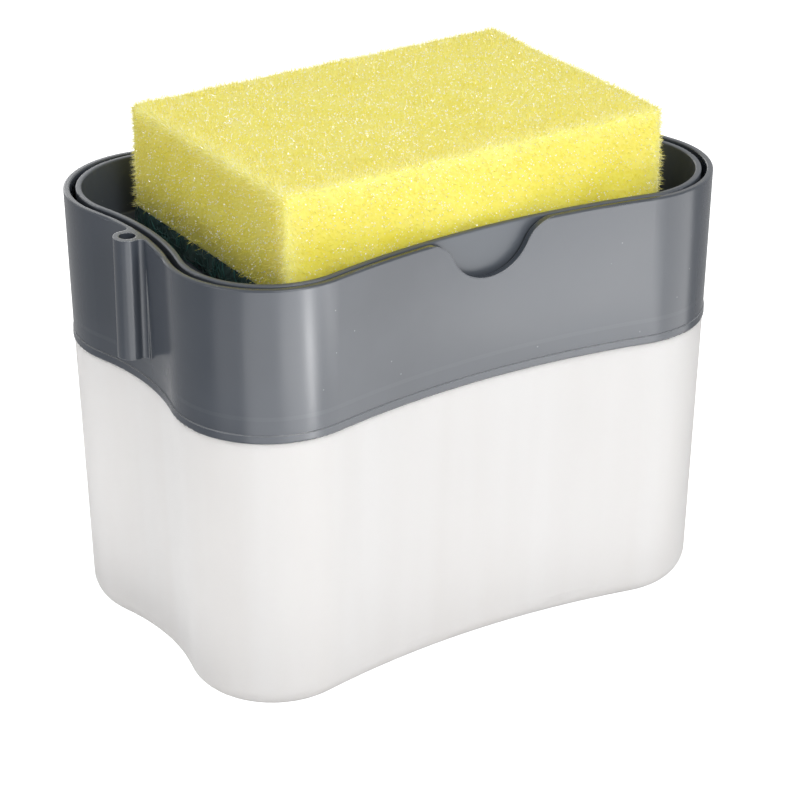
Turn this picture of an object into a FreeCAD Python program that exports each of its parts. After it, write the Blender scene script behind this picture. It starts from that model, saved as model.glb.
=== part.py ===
import FreeCAD, Part
import math
import os
import re
import Sketcher

# A dish soap caddy: a frosted tub for the soap, a collar that drops onto the tub and carries a
# small lotion pump, and a tray on the pump's stem that holds a sponge. Pressing the sponge
# works the pump. The origin is at the middle of the tub's base, +X along the long side,
# -Y at the front, where the collar has its finger notch. All sizes are in millimetres.

dimensions = {
    # plan outline of the collar's rim: round corners joined by sides that curve inwards
    "collar_length": 140.0,
    "collar_width": 92.0,
    "corner_radius": 23.0,
    "long_side_dip": 5.05,
    "short_side_dip": 3.2,
    # tub
    "tub_height": 69.0,
    "tub_top_inset": 0.95,
    "tub_bottom_inset": 3.0,
    "tub_wall": 1.6,
    "tub_floor": 2.0,
    "tub_bottom_round": 6.4,
    "neck_top_gap": 0.4,
    "neck_wall": 1.3,
    "neck_clearance": 0.25,
    # collar
    "collar_height": 36.5,
    "collar_wall": 1.5,
    "collar_foot_inset": 0.9,
    "bead_height": 2.0,
    "bead_proud": 0.25,
    "bead_round": 0.4,
    "deck_height": 4.6,
    "deck_thickness": 1.8,
    "well_margin": 2.9,
    "well_wall": 1.6,
    "rim_round": 0.4,
    # socket tube on the collar's left end
    "tube_radius": 3.2,
    "tube_bore_radius": 1.9,
    "tube_foot": 7.8,
    "tube_standoff": 2.1,
    "tube_flare_radius": 1.2,
    "tube_root_share": 0.75,
    # finger notch in the collar's front
    "notch_radius": 10.9,
    "notch_depth": 11.2,
    "notch_lip_radius": 8.0,
    # press tray
    "tray_gap": 0.7,
    "tray_end_gap": 1.35,
    "tray_wall": 1.4,
    "tray_depth": 13.6,
    "tray_floor": 1.8,
    "tray_foot_inset": 0.6,
    "tray_outer_round": 1.9,
    "tray_inner_round": 0.5,
    "boss_wall": 2.4,
    "boss_length": 10.9,
    "socket_ceiling": 1.6,
    # soap outlet in the tray's floor
    "outlet_radius": 4.9,
    "outlet_thickness": 0.9,
    "outlet_clearance": 0.1,
    "outlet_spigot_radius": 2.1,
    "outlet_spigot_length": 1.8,
    "outlet_hole_radius": 1.0,
    "outlet_slot_length": 7.6,
    "outlet_slot_width": 0.8,
    "outlet_slot_depth": 0.4,
    # pump housing with its nut, gasket and dip tube
    "housing_bore_radius": 6.8,
    "housing_wall": 1.4,
    "thread_step": 0.8,
    "thread_length": 12.0,
    "thread_clearance": 0.05,
    "hole_clearance": 0.3,
    "flange_step": 3.6,
    "flange_thickness": 1.6,
    "gasket_thickness": 1.0,
    "nut_wall": 3.5,
    "nut_height": 5.0,
    "tail_wall": 1.6,
    "tail_length": 6.0,
    "inlet_wall": 1.5,
    "dip_tube_radius": 3.0,
    "dip_tube_wall": 1.0,
    "dip_tube_clearance": 0.05,
    "dip_tube_floor_gap": 3.0,
    # check valve, the same in the housing's inlet and at the stem's outlet
    "ball_radius": 2.4,
    "ball_seat_gap": 0.1,
    "ball_travel": 1.5,
    "ball_stop_gap": 0.3,
    "seat_hole_radius": 1.5,
    "chamber_clearance": 0.5,
    "lip_overlap": 0.3,
    "lip_thickness": 1.2,
    # stem guide
    "guide_ledge": 2.7,
    "guide_thickness": 2.6,
    "guide_spigot_length": 3.5,
    # stem, piston and plug
    "press_stroke": 10.0,
    "press_margin": 0.6,
    "running_clearance": 0.05,
    "stem_wall": 1.1,
    "stem_shoulder": 0.6,
    "piston_height": 5.0,
    "piston_lip_height": 1.3,
    "piston_waist_depth": 1.0,
    "piston_stop_gap": 0.3,
    "plug_margin": 0.25,
    "plug_thickness": 2.0,
    "plug_spigot_radius": 2.1,
    "plug_spigot_length": 3.8,
    "plug_bore_radius": 1.1,
    # return spring
    "spring_radius": 4.2,
    "spring_wire_radius": 0.45,
    "spring_seat_gap": 0.1,
    "spring_pitch": 2.6,
    "spring_turns": 6,
    # sponge with its scouring pad
    "sponge_end_gap": 12.3,
    "sponge_side_gap": 3.1,
    "sponge_shift": 1.5,
    "foam_height": 24.8,
    "foam_round": 1.2,
    "scour_height": 5.8,
    # how far a cut runs past the face it opens
    "cut_overrun": 1.0,
}

doc = FreeCAD.newDocument("soap_pump_caddy")
sheet = doc.addObject("Spreadsheet::Sheet", "Dimensions")
for row, (name, size) in enumerate(dimensions.items(), start=1):
    sheet.set("A%d" % row, name)
    sheet.set("B%d" % row, str(size))
    sheet.setAlias("B%d" % row, name)
doc.recompute()

# Sizes and heights that follow from the sheet, written as formulas

neck_inset = "(collar_foot_inset + collar_wall + neck_clearance)"
neck_height = "(deck_height - neck_top_gap)"
deck_top = "(deck_height + deck_thickness)"
wall_left = "(collar_length / 2 - short_side_dip)"
tube_left = "(%s + tube_standoff)" % wall_left
tray_inset = "(collar_wall + tray_gap)"
tray_inner_inset = "(%s + tray_wall)" % tray_inset
tray_end_inset = "(tray_end_gap - tray_gap)"

chamber_radius = "(ball_radius + chamber_clearance)"
lip_radius = "(ball_radius - lip_overlap)"
stem_radius = "(%s + stem_wall)" % chamber_radius
foot_radius = "(%s - stem_shoulder)" % stem_radius
barrel_radius = "(housing_bore_radius + housing_wall)"
thread_radius = "(%s + thread_step)" % barrel_radius
flange_radius = "(%s + flange_step)" % thread_radius
hole_radius = "(%s + hole_clearance)" % thread_radius
well_radius = "(%s + well_margin)" % flange_radius
tail_bore = "(dip_tube_radius + dip_tube_clearance)"
tail_radius = "(%s + tail_wall)" % tail_bore
plug_radius = "(spring_radius + spring_wire_radius + plug_margin)"

# A check valve measured from its seat's hole: the ball's middle on a seat of 45 degrees, the
# height where the holding lip starts, and the top of the lip
seat_rise = "(%s - seat_hole_radius)" % chamber_radius
ball_rest = "(sqrt(2) * ball_radius - seat_hole_radius + ball_seat_gap)"
lip_start = ("(%s + ball_travel + ball_stop_gap + sqrt(ball_radius^2 - %s^2))"
             % (ball_rest, lip_radius))
valve_height = "(%s + lip_thickness)" % lip_start

# Heights above the tub's base. The pump hangs from the tray: its guide stays clear of the
# tray's boss over the whole stroke, and the collar's well goes as deep as the pump needs.
rim = "(tub_height + collar_height)"
tray_top = "(%s - tray_depth)" % rim
tray_underside = "(%s - tray_floor)" % tray_top
boss_bottom = "(%s - boss_length)" % tray_underside
stem_top = "(%s - socket_ceiling)" % tray_underside
guide_top = "(%s - press_stroke - press_margin)" % boss_bottom
flange_top = "(%s - guide_thickness)" % guide_top
flange_seat = "(%s - flange_thickness)" % flange_top
well_floor = "(%s - gasket_thickness)" % flange_seat
guide_bottom = "(%s - guide_spigot_length)" % flange_top
piston_bottom = "(%s - piston_stop_gap - piston_height)" % guide_bottom
plug_bottom = "(%s - plug_thickness)" % piston_bottom
spring_length = "(spring_pitch * spring_turns + 2 * (spring_wire_radius + spring_seat_gap))"
spring_bottom = "(%s - %s)" % (plug_bottom, spring_length)
inlet_seat = "(%s - %s)" % (spring_bottom, valve_height)
housing_bottom = "(%s - inlet_wall - tail_length)" % inlet_seat
stem_length = "(%s - %s)" % (stem_top, piston_bottom)
outlet_seat = "(%s - %s)" % (stem_top, valve_height)
sponge_length = ("(2 * (%s - %s - %s - sponge_end_gap))"
                 % (wall_left, tray_inner_inset, tray_end_inset))
sponge_width = ("(2 * (collar_width / 2 - long_side_dip - %s - sponge_side_gap))"
                % tray_inner_inset)


def linked(formula):
    # the formula with each size's name pointing at its cell in the sheet
    def cell(match):
        word = match.group(0)
        return "Dimensions." + word if word in dimensions else word
    return re.sub(r"[a-z_]+", cell, formula)


def measure(formula):
    return float(sheet.evalExpression(linked(formula)))


def bind(feature, name, formula):
    feature.setExpression(name, linked(formula))


def new_body(name, height, forward="0"):
    # a sub-part at its height above the tub's base, moved towards the front
    body = doc.addObject("PartDesign::Body", name)
    body.Label = name
    bind(body, "Placement.Base.z", height)
    bind(body, "Placement.Base.y", "-(%s)" % forward)
    return body


def origin_plane(body, role):
    planes = {feature.Role: feature for feature in body.Origin.OriginFeatures}
    return planes[role]


def new_sketch(body, name, role, height="0"):
    # a sketch on one of the body's own planes, raised to a height along the plane's normal
    sketch = body.newObject("Sketcher::SketchObject", name)
    sketch.AttachmentSupport = [(origin_plane(body, role), "")]
    sketch.MapMode = "FlatFace"
    bind(sketch, "AttachmentOffset.Base.z", height)
    return sketch


# the numbers by which a sketch knows a curve's ends and middle, its own axes and its origin
start, end, centre = range(1, 4)
x_axis, y_axis = range(-1, -3, -1)
origin = (x_axis, start)


def hold(sketch, kind, *places):
    sketch.addConstraint(Sketcher.Constraint(kind, *places))


def drive(sketch, kind, name, formula, *places):
    # one driven dimension of a sketch, named and bound to the sheet
    index = sketch.addConstraint(Sketcher.Constraint(kind, *places, measure(formula)))
    sketch.renameConstraint(index, name)
    bind(sketch, "Constraints." + name, formula)


def arc(middle, radius, first, last):
    circle = Part.Circle(FreeCAD.Vector(*middle, 0), FreeCAD.Vector(0, 0, 1), radius)
    return Part.ArcOfCircle(circle, first, last)


def line(first, last):
    return Part.LineSegment(FreeCAD.Vector(*first, 0), FreeCAD.Vector(*last, 0))


def side_arc(reach, dip):
    # the radius of the arc that dips inwards between two corners, each at a reach from the middle
    return "((%s^2 + (corner_radius - %s)^2 - corner_radius^2) / (2 * %s))" % (reach, dip, dip)


def outline(body, name, height, inset, end_inset="0"):
    # The plan outline, drawn in by an inset, and by a further inset at both ends: four corner arcs,
    # each tangent to the two side arcs beside it. A side arc's centre lies outside the outline, so
    # the side curves inwards.
    sketch = new_sketch(body, name, "XY_Plane", height)
    corner_x = "(collar_length / 2 - corner_radius - %s)" % end_inset
    corner_y = "(collar_width / 2 - corner_radius)"
    long_arc = side_arc(corner_x, "long_side_dip")
    short_arc = side_arc(corner_y, "short_side_dip")
    across = measure(corner_x)
    along = measure(corner_y)
    corner = measure("corner_radius")
    inward = measure(inset)
    long_radius = measure(long_arc)
    short_radius = measure(short_arc)
    long_turn = math.asin(across / (long_radius + corner))
    short_turn = math.asin(along / (short_radius + corner))
    long_centre = along + math.cos(long_turn) * (long_radius + corner)
    short_centre = across + math.cos(short_turn) * (short_radius + corner)
    quarter = math.pi / 2
    corners = [(across, along), (-across, along), (-across, -along), (across, -along)]
    sides = [(0, long_centre), (-short_centre, 0), (0, -long_centre), (short_centre, 0)]
    for index in range(4):
        is_long = index % 2 == 0
        before = short_turn if is_long else long_turn
        after = long_turn if is_long else short_turn
        side_radius = long_radius if is_long else short_radius
        first = index * quarter
        facing = first - quarter
        sketch.addGeometry(arc(corners[index], corner - inward, first - before, first + quarter + after))
        sketch.addGeometry(arc(sides[index], side_radius + inward, facing - after, facing + after))
    for index in range(4):
        here = 2 * index
        side = here + 1
        following = (here + 2) % 8
        hold(sketch, "Tangent", here, end, side, end)
        hold(sketch, "Tangent", side, start, following, start)
    hold(sketch, "Symmetric", 0, centre, 2, centre, y_axis)
    hold(sketch, "Symmetric", 0, centre, 6, centre, x_axis)
    hold(sketch, "Symmetric", 0, centre, 4, centre, *origin)
    for twin in (2, 4, 6):
        hold(sketch, "Equal", 0, twin)
    hold(sketch, "Equal", 1, 5)
    hold(sketch, "Equal", 3, 7)
    drive(sketch, "DistanceX", "corner_across", corner_x, *origin, 0, centre)
    drive(sketch, "DistanceY", "corner_along", corner_y, *origin, 0, centre)
    drive(sketch, "Radius", "corner_arc", "corner_radius - (%s)" % inset, 0)
    drive(sketch, "Radius", "long_side_arc", "%s + %s" % (long_arc, inset), 1)
    drive(sketch, "Radius", "short_side_arc", "%s + %s" % (short_arc, inset), 3)
    return sketch


def polygon(body, name, points):
    # a closed upright profile, each corner placed by its driven radius and height
    sketch = new_sketch(body, name, "XZ_Plane")
    places = [(measure(radius), measure(height)) for radius, height in points]
    for first, last in zip(places, places[1:] + places[:1]):
        sketch.addGeometry(line(first, last))
    for index, (radius, height) in enumerate(points):
        hold(sketch, "Coincident", index, end, (index + 1) % len(points), start)
        if radius == "0":
            hold(sketch, "PointOnObject", index, start, y_axis)
        else:
            drive(sketch, "DistanceX", "radius_%d" % index, radius, *origin, index, start)
        if height == "0":
            hold(sketch, "PointOnObject", index, start, x_axis)
        else:
            drive(sketch, "DistanceY", "height_%d" % index, height, *origin, index, start)
    return sketch


def rectangle(body, name, height, length, width):
    # a rectangle about the middle
    sketch = new_sketch(body, name, "XY_Plane", height)
    across = measure(length) / 2
    along = measure(width) / 2
    corners = [(-across, -along), (across, -along), (across, along), (-across, along)]
    for first, last in zip(corners, corners[1:] + corners[:1]):
        sketch.addGeometry(line(first, last))
    for index in range(4):
        hold(sketch, "Coincident", index, end, (index + 1) % 4, start)
        hold(sketch, "Vertical" if index % 2 else "Horizontal", index)
    hold(sketch, "Symmetric", 0, start, 2, start, *origin)
    drive(sketch, "DistanceX", "length", length, 0, start, 0, end)
    drive(sketch, "DistanceY", "width", width, 1, start, 1, end)
    return sketch


def extrude(body, kind, name, sketch, length, upwards):
    # a pad grows along its sketch's normal and a pocket against it, unless it is reversed
    feature = body.newObject("PartDesign::" + kind, name)
    feature.Profile = sketch
    feature.Reversed = upwards == (kind == "Pocket")
    bind(feature, "Length", length)
    doc.recompute()


def lean_walls(body, name, angle, outer):
    # tilts the straight walls that were made last, so that they open upwards from the level
    # plane at the body's origin, where their outline holds
    solid = body.Tip
    faces = ["Face%d" % number for number, face in enumerate(solid.Shape.Faces, start=1)
             if isinstance(face.Surface, Part.Cylinder)]
    feature = body.newObject("PartDesign::Draft", name)
    feature.Base = (solid, faces)
    feature.NeutralPlane = (origin_plane(body, "XY_Plane"), [""])
    feature.Reversed = outer
    bind(feature, "Angle", angle)
    doc.recompute()


def turn(body, kind, name, points):
    # a profile of (radius, height) corners, turned about the upright axis
    sketch = polygon(body, name + "_profile", points)
    feature = body.newObject("PartDesign::" + kind, name)
    feature.Profile = sketch
    feature.ReferenceAxis = (sketch, ["V_Axis"])
    doc.recompute()


def turned_body(name, height, points):
    body = new_body(name, height)
    turn(body, "Revolution", "turned", points)
    return body


edge_slack_share = 0.001


def edges_between(body, lowest, highest):
    # the names of the tip's edges that lie wholly between two heights of the body
    slack = measure("cut_overrun") * edge_slack_share
    bottom = measure(lowest) - slack
    top = measure(highest) + slack
    boxes = [edge.BoundBox for edge in body.Tip.Shape.Edges]
    return ["Edge%d" % number for number, box in enumerate(boxes, start=1)
            if box.ZMin > bottom and box.ZMax < top]


def round_edges(body, name, edges, radius):
    solid = body.Tip
    feature = body.newObject("PartDesign::Fillet", name)
    feature.Base = (solid, edges)
    bind(feature, "Radius", radius)
    doc.recompute()


def make_tub():
    # drafted walls on a rounded base, and above the shoulder a thinner neck for the collar
    body = new_body("reservoir_tub", "0")
    lean = "atan((tub_bottom_inset - tub_top_inset) / tub_height)"
    base = outline(body, "base_outline", "0", "tub_bottom_inset")
    extrude(body, "Pad", "wall", base, "tub_height", upwards=True)
    lean_walls(body, "wall_draft", lean, outer=True)
    round_edges(body, "base_round", edges_between(body, "0", "0"), "tub_bottom_round")
    floor = outline(body, "floor_outline", "tub_floor", "tub_bottom_inset + tub_wall")
    extrude(body, "Pocket", "hollow", floor, "tub_height", upwards=True)
    lean_walls(body, "hollow_draft", lean, outer=False)
    floor_edges = edges_between(body, "tub_floor", "tub_floor")
    round_edges(body, "floor_round", floor_edges, "tub_bottom_round - tub_wall")
    shoulder = outline(body, "shoulder_outline", "tub_height - tub_wall", "tub_top_inset + tub_wall / 2")
    extrude(body, "Pad", "shoulder", shoulder, "tub_wall", upwards=True)
    neck = outline(body, "neck_outline", "tub_height", neck_inset)
    extrude(body, "Pad", "neck", neck, neck_height, upwards=True)
    mouth = outline(body, "mouth_outline", "tub_height + " + neck_height, neck_inset + " + neck_wall")
    extrude(body, "Pocket", "mouth", mouth, neck_height + " + tub_wall + cut_overrun", upwards=False)
    return body


def tube_outline(body):
    # the tube's round, joined to the wall's line by a tangent flare on each side
    sketch = new_sketch(body, "tube_outline", "XY_Plane", "collar_height")
    tube = measure("tube_radius")
    flare = measure("tube_flare_radius")
    middle = -measure(tube_left)
    wall = -measure(wall_left)
    root = wall + measure("collar_wall * tube_root_share")
    ahead = wall - flare - middle
    aside = math.sqrt((tube + flare) ** 2 - ahead ** 2)
    lean = math.atan2(aside, ahead)
    half = math.pi
    full = 2 * math.pi
    sketch.addGeometry(arc((middle, 0), tube, lean, full - lean))
    sketch.addGeometry(arc((wall - flare, aside), flare, half + lean, full))
    sketch.addGeometry(arc((wall - flare, -aside), flare, 0, half - lean))
    sketch.addGeometry(line((wall, aside), (root, aside)))
    sketch.addGeometry(line((root, aside), (root, -aside)))
    sketch.addGeometry(line((root, -aside), (wall, -aside)))
    hold(sketch, "Tangent", 0, start, 1, start)
    hold(sketch, "Tangent", 0, end, 2, end)
    hold(sketch, "Coincident", 1, end, 3, start)
    hold(sketch, "Coincident", 3, end, 4, start)
    hold(sketch, "Coincident", 4, end, 5, start)
    hold(sketch, "Coincident", 5, end, 2, start)
    hold(sketch, "Horizontal", 1, centre, 1, end)
    hold(sketch, "Horizontal", 2, centre, 2, start)
    hold(sketch, "Horizontal", 3)
    hold(sketch, "Vertical", 4)
    hold(sketch, "Horizontal", 5)
    hold(sketch, "PointOnObject", 0, centre, x_axis)
    hold(sketch, "Equal", 1, 2)
    drive(sketch, "DistanceX", "tube_left", tube_left, 0, centre, *origin)
    drive(sketch, "Radius", "tube_round", "tube_radius", 0)
    drive(sketch, "Radius", "flare_round", "tube_flare_radius", 1)
    drive(sketch, "DistanceX", "back_wall", wall_left, 1, end, *origin)
    drive(sketch, "DistanceX", "front_wall", wall_left, 2, start, *origin)
    root_left = wall_left + " - collar_wall * tube_root_share"
    drive(sketch, "DistanceX", "root", root_left, 4, start, *origin)
    return sketch


def bore_outline(body):
    sketch = new_sketch(body, "bore_outline", "XY_Plane", "collar_height")
    middle = FreeCAD.Vector(-measure(tube_left), 0, 0)
    sketch.addGeometry(Part.Circle(middle, FreeCAD.Vector(0, 0, 1), measure("tube_bore_radius")))
    hold(sketch, "PointOnObject", 0, centre, x_axis)
    drive(sketch, "DistanceX", "tube_left", tube_left, 0, centre, *origin)
    drive(sketch, "Radius", "bore_round", "tube_bore_radius", 0)
    return sketch


def notch_outline(body):
    # a round notch whose two lips curve over, tangent to the notch and level at the rim
    sketch = new_sketch(body, "notch_outline", "XZ_Plane")
    notch = measure("notch_radius")
    lip = measure("notch_lip_radius")
    level = measure("collar_height")
    top = level + measure("cut_overrun")
    rise = notch - measure("notch_depth") + lip
    reach = math.sqrt((notch + lip) ** 2 - rise ** 2)
    lean = math.atan2(rise, reach)
    quarter = math.pi / 2
    half = math.pi
    sketch.addGeometry(arc((-reach, level - lip), lip, lean, quarter))
    sketch.addGeometry(arc((0, level - lip + rise), notch, half + lean, 2 * half - lean))
    sketch.addGeometry(arc((reach, level - lip), lip, quarter, half - lean))
    sketch.addGeometry(line((reach, level), (reach, top)))
    sketch.addGeometry(line((reach, top), (-reach, top)))
    sketch.addGeometry(line((-reach, top), (-reach, level)))
    hold(sketch, "Tangent", 0, start, 1, start)
    hold(sketch, "Tangent", 1, end, 2, end)
    hold(sketch, "Coincident", 2, start, 3, start)
    hold(sketch, "Coincident", 3, end, 4, start)
    hold(sketch, "Coincident", 4, end, 5, start)
    hold(sketch, "Coincident", 5, end, 0, end)
    hold(sketch, "Vertical", 0, centre, 0, end)
    hold(sketch, "Vertical", 2, centre, 2, start)
    hold(sketch, "Vertical", 3)
    hold(sketch, "Horizontal", 4)
    hold(sketch, "Vertical", 5)
    hold(sketch, "Equal", 0, 2)
    hold(sketch, "PointOnObject", 1, centre, y_axis)
    drive(sketch, "Radius", "lip_round", "notch_lip_radius", 0)
    drive(sketch, "Radius", "notch_round", "notch_radius", 1)
    notch_height = "collar_height - notch_depth + notch_radius"
    lip_height = "collar_height - notch_lip_radius"
    drive(sketch, "DistanceY", "notch_height", notch_height, *origin, 1, centre)
    drive(sketch, "DistanceY", "left_lip", lip_height, *origin, 0, centre)
    drive(sketch, "DistanceY", "right_lip", lip_height, *origin, 2, centre)
    drive(sketch, "DistanceY", "top", "collar_height + cut_overrun", *origin, 4, start)
    return sketch


def make_collar():
    # The lower edge stands on the tub's shoulder. A deck closes the tub, and a round well in
    # its middle carries the pump. Heights in this body are from the collar's lower edge.
    body = new_body("collar", "tub_height")
    floor_top = "(%s - tub_height)" % well_floor
    floor_bottom = "(%s - deck_thickness)" % floor_top
    well_outside = well_radius + " + well_wall"
    lean = "atan(collar_foot_inset / collar_height)"
    lower = outline(body, "lower_outline", "0", "collar_foot_inset")
    extrude(body, "Pad", "wall", lower, "collar_height", upwards=True)
    lean_walls(body, "wall_draft", lean, outer=True)
    inside = outline(body, "inside_outline", deck_top, "collar_foot_inset + collar_wall")
    extrude(body, "Pocket", "inside", inside, "collar_height", upwards=True)
    lean_walls(body, "inside_draft", lean, outer=False)
    round_edges(body, "rim_edge", edges_between(body, "collar_height", "collar_height"), "rim_round")
    bead = outline(body, "bead_outline", "0", "collar_foot_inset - bead_proud")
    extrude(body, "Pad", "bead", bead, "bead_height", upwards=True)
    round_edges(body, "bead_edge", edges_between(body, "0", "0"), "bead_round")
    skirt = outline(body, "skirt_outline", "0", "collar_foot_inset + collar_wall")
    extrude(body, "Pocket", "skirt", skirt, "deck_height", upwards=True)
    turn(body, "Revolution", "well", [
        (hole_radius, deck_top), (well_outside, deck_top),
        (well_outside, floor_bottom), (hole_radius, floor_bottom)])
    turn(body, "Groove", "well_inside", [
        ("0", deck_top + " + cut_overrun"), (well_radius, deck_top + " + cut_overrun"),
        (well_radius, floor_top), (hole_radius, floor_top),
        (hole_radius, floor_bottom + " - cut_overrun"), ("0", floor_bottom + " - cut_overrun")])
    extrude(body, "Pad", "tube", tube_outline(body), "collar_height - tube_foot", upwards=False)
    bore_length = "collar_height - tube_foot + cut_overrun"
    extrude(body, "Pocket", "tube_bore", bore_outline(body), bore_length, upwards=False)
    extrude(body, "Pocket", "notch", notch_outline(body), "collar_width / 2", upwards=True)
    return body


def make_gasket():
    return turned_body("neck_gasket", well_floor, [
        (hole_radius, "0"), (flange_radius, "0"),
        (flange_radius, "gasket_thickness"), (hole_radius, "gasket_thickness")])


def make_housing():
    # from the bottom: dip tube socket, inlet hole, ball seat, ball chamber under its lip,
    # barrel, thread and flange
    seat = "(tail_length + inlet_wall)"
    bore_bottom = "(%s + %s)" % (seat, valve_height)
    flange_base = "(%s - %s)" % (flange_seat, housing_bottom)
    thread_base = "(%s - thread_length)" % flange_base
    top = "(%s + flange_thickness)" % flange_base
    return turned_body("pump_housing", housing_bottom, [
        (tail_bore, "0"), (tail_radius, "0"), (tail_radius, seat),
        (barrel_radius, bore_bottom), (barrel_radius, thread_base), (thread_radius, thread_base),
        (thread_radius, flange_base), (flange_radius, flange_base), (flange_radius, top),
        ("housing_bore_radius", top), ("housing_bore_radius", bore_bottom), (lip_radius, bore_bottom),
        (lip_radius, "%s + %s" % (seat, lip_start)), (chamber_radius, "%s + %s" % (seat, lip_start)),
        (chamber_radius, "%s + %s" % (seat, seat_rise)), ("seat_hole_radius", seat),
        ("seat_hole_radius", "tail_length"), (tail_bore, "tail_length")])


def make_guide():
    # a disc on the housing's flange, with a spigot in the bore and a running hole for the stem
    hole = stem_radius + " + running_clearance"
    spigot = "housing_bore_radius - running_clearance"
    disc = "housing_bore_radius + guide_ledge"
    top = "guide_spigot_length + guide_thickness"
    return turned_body("stem_guide", guide_bottom, [
        (hole, "0"), (spigot, "0"), (spigot, "guide_spigot_length"),
        (disc, "guide_spigot_length"), (disc, top), (hole, top)])


def make_nut():
    # a six-sided nut under the well's floor
    height = "%s - deck_thickness - nut_height" % well_floor
    prism = doc.addObject("Part::Prism", "nut_sides")
    prism.Polygon = 6
    bind(prism, "Circumradius", "(%s + thread_clearance + nut_wall) / cos(30)" % thread_radius)
    bind(prism, "Height", "nut_height")
    hole = doc.addObject("Part::Cylinder", "nut_hole")
    bind(hole, "Radius", thread_radius + " + thread_clearance")
    bind(hole, "Height", "nut_height")
    nut = doc.addObject("Part::Cut", "pump_nut")
    nut.Label = "pump_nut"
    nut.Base = prism
    nut.Tool = hole
    bind(nut, "Placement.Base.z", height)
    return nut


def make_dip_tube():
    bottom = "(tub_floor + dip_tube_floor_gap)"
    length = "%s + tail_length - %s" % (housing_bottom, bottom)
    bore = "dip_tube_radius - dip_tube_wall"
    return turned_body("dip_tube", bottom, [
        (bore, "0"), ("dip_tube_radius", "0"), ("dip_tube_radius", length), (bore, length)])


def make_ball(name, seat):
    ball = doc.addObject("Part::Sphere", name)
    ball.Label = name
    bind(ball, "Radius", "ball_radius")
    bind(ball, "Placement.Base.z", "%s + %s" % (seat, ball_rest))
    return ball


def make_stem():
    # a hollow stem: the plug's socket at its foot, a shoulder that stands on the piston, and at
    # its top the outlet valve's seat, chamber and lip
    socket = "plug_spigot_radius + running_clearance"
    socket_top = "plug_spigot_length + running_clearance"
    seat = "(%s - %s)" % (stem_length, valve_height)
    return turned_body("pump_stem", piston_bottom, [
        (socket, "0"), (foot_radius, "0"), (foot_radius, "piston_height"),
        (stem_radius, "piston_height"), (stem_radius, stem_length), (lip_radius, stem_length),
        (lip_radius, "%s + %s" % (seat, lip_start)), (chamber_radius, "%s + %s" % (seat, lip_start)),
        (chamber_radius, "%s + %s" % (seat, seat_rise)), ("seat_hole_radius", seat),
        ("seat_hole_radius", socket_top), (socket, socket_top)])


def make_piston():
    # a spool with a sealing lip at each end
    hole = foot_radius + " + running_clearance"
    lip = "housing_bore_radius - running_clearance"
    waist = lip + " - piston_waist_depth"
    upper = "piston_height - piston_lip_height"
    return turned_body("pump_piston", piston_bottom, [
        (hole, "0"), (lip, "0"), (lip, "piston_lip_height"), (waist, "piston_lip_height"),
        (waist, upper), (lip, upper), (lip, "piston_height"), (hole, "piston_height")])


def make_plug():
    # a headed plug in the stem's foot, which holds the piston and takes the spring
    top = "plug_thickness + plug_spigot_length"
    return turned_body("piston_plug", plug_bottom, [
        ("plug_bore_radius", "0"), (plug_radius, "0"), (plug_radius, "plug_thickness"),
        ("plug_spigot_radius", "plug_thickness"), ("plug_spigot_radius", top), ("plug_bore_radius", top)])


def make_spring():
    # a round wire carried along a helix between the housing's step and the plug's head
    helix = doc.addObject("Part::Helix", "spring_path")
    bind(helix, "Pitch", "spring_pitch")
    bind(helix, "Height", "spring_pitch * spring_turns")
    bind(helix, "Radius", "spring_radius")
    wire = doc.addObject("Part::Circle", "spring_wire")
    bind(wire, "Radius", "spring_wire_radius")
    wire.Placement.Rotation = FreeCAD.Rotation(FreeCAD.Vector(1, 0, 0), 90)
    bind(wire, "Placement.Base.x", "spring_radius")
    doc.recompute()
    spring = doc.addObject("Part::Sweep", "return_spring")
    spring.Label = "return_spring"
    spring.Sections = [wire]
    spring.Spine = (helix, ["Edge%d" % number for number in range(1, len(helix.Shape.Edges) + 1)])
    spring.Solid = True
    spring.Frenet = True
    bind(spring, "Placement.Base.z", spring_bottom + " + spring_wire_radius + spring_seat_gap")
    return spring


def make_tray():
    # A shallow tray that follows the collar's inside, with a boss under its floor that sits on
    # the stem. Heights in this body are from the floor's underside.
    body = new_body("press_tray", tray_underside)
    level = "(tray_floor + tray_depth)"
    lean = "atan(tray_foot_inset / %s)" % level
    base = outline(body, "base_outline", "0", tray_inset + " + tray_foot_inset", tray_end_inset)
    extrude(body, "Pad", "wall", base, level, upwards=True)
    lean_walls(body, "wall_draft", lean, outer=True)
    round_edges(body, "base_edge", edges_between(body, "0", "0"), "tray_outer_round")
    inside_inset = tray_inner_inset + " + tray_foot_inset"
    inside = outline(body, "inside_outline", "tray_floor", inside_inset, tray_end_inset)
    extrude(body, "Pocket", "inside", inside, level, upwards=True)
    lean_walls(body, "inside_draft", lean, outer=False)
    round_edges(body, "floor_edge", edges_between(body, "tray_floor", "tray_floor"), "tray_inner_round")
    round_edges(body, "rim_edge", edges_between(body, level, level), "rim_round")
    socket = "(%s + running_clearance)" % stem_radius
    boss = "%s + boss_wall" % socket
    hole = "outlet_spigot_radius + outlet_clearance"
    seat = "outlet_radius + outlet_clearance"
    ledge = "tray_floor - outlet_thickness"
    top = "tray_floor + cut_overrun"
    turn(body, "Revolution", "boss", [
        (hole, "-boss_length"), (boss, "-boss_length"), (boss, "tray_floor"), (hole, "tray_floor")])
    turn(body, "Groove", "socket", [
        ("0", "-boss_length - cut_overrun"), (socket, "-boss_length - cut_overrun"),
        (socket, "-socket_ceiling"), (hole, "-socket_ceiling"),
        (hole, ledge), (seat, ledge), (seat, top), ("0", top)])
    return body


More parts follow.
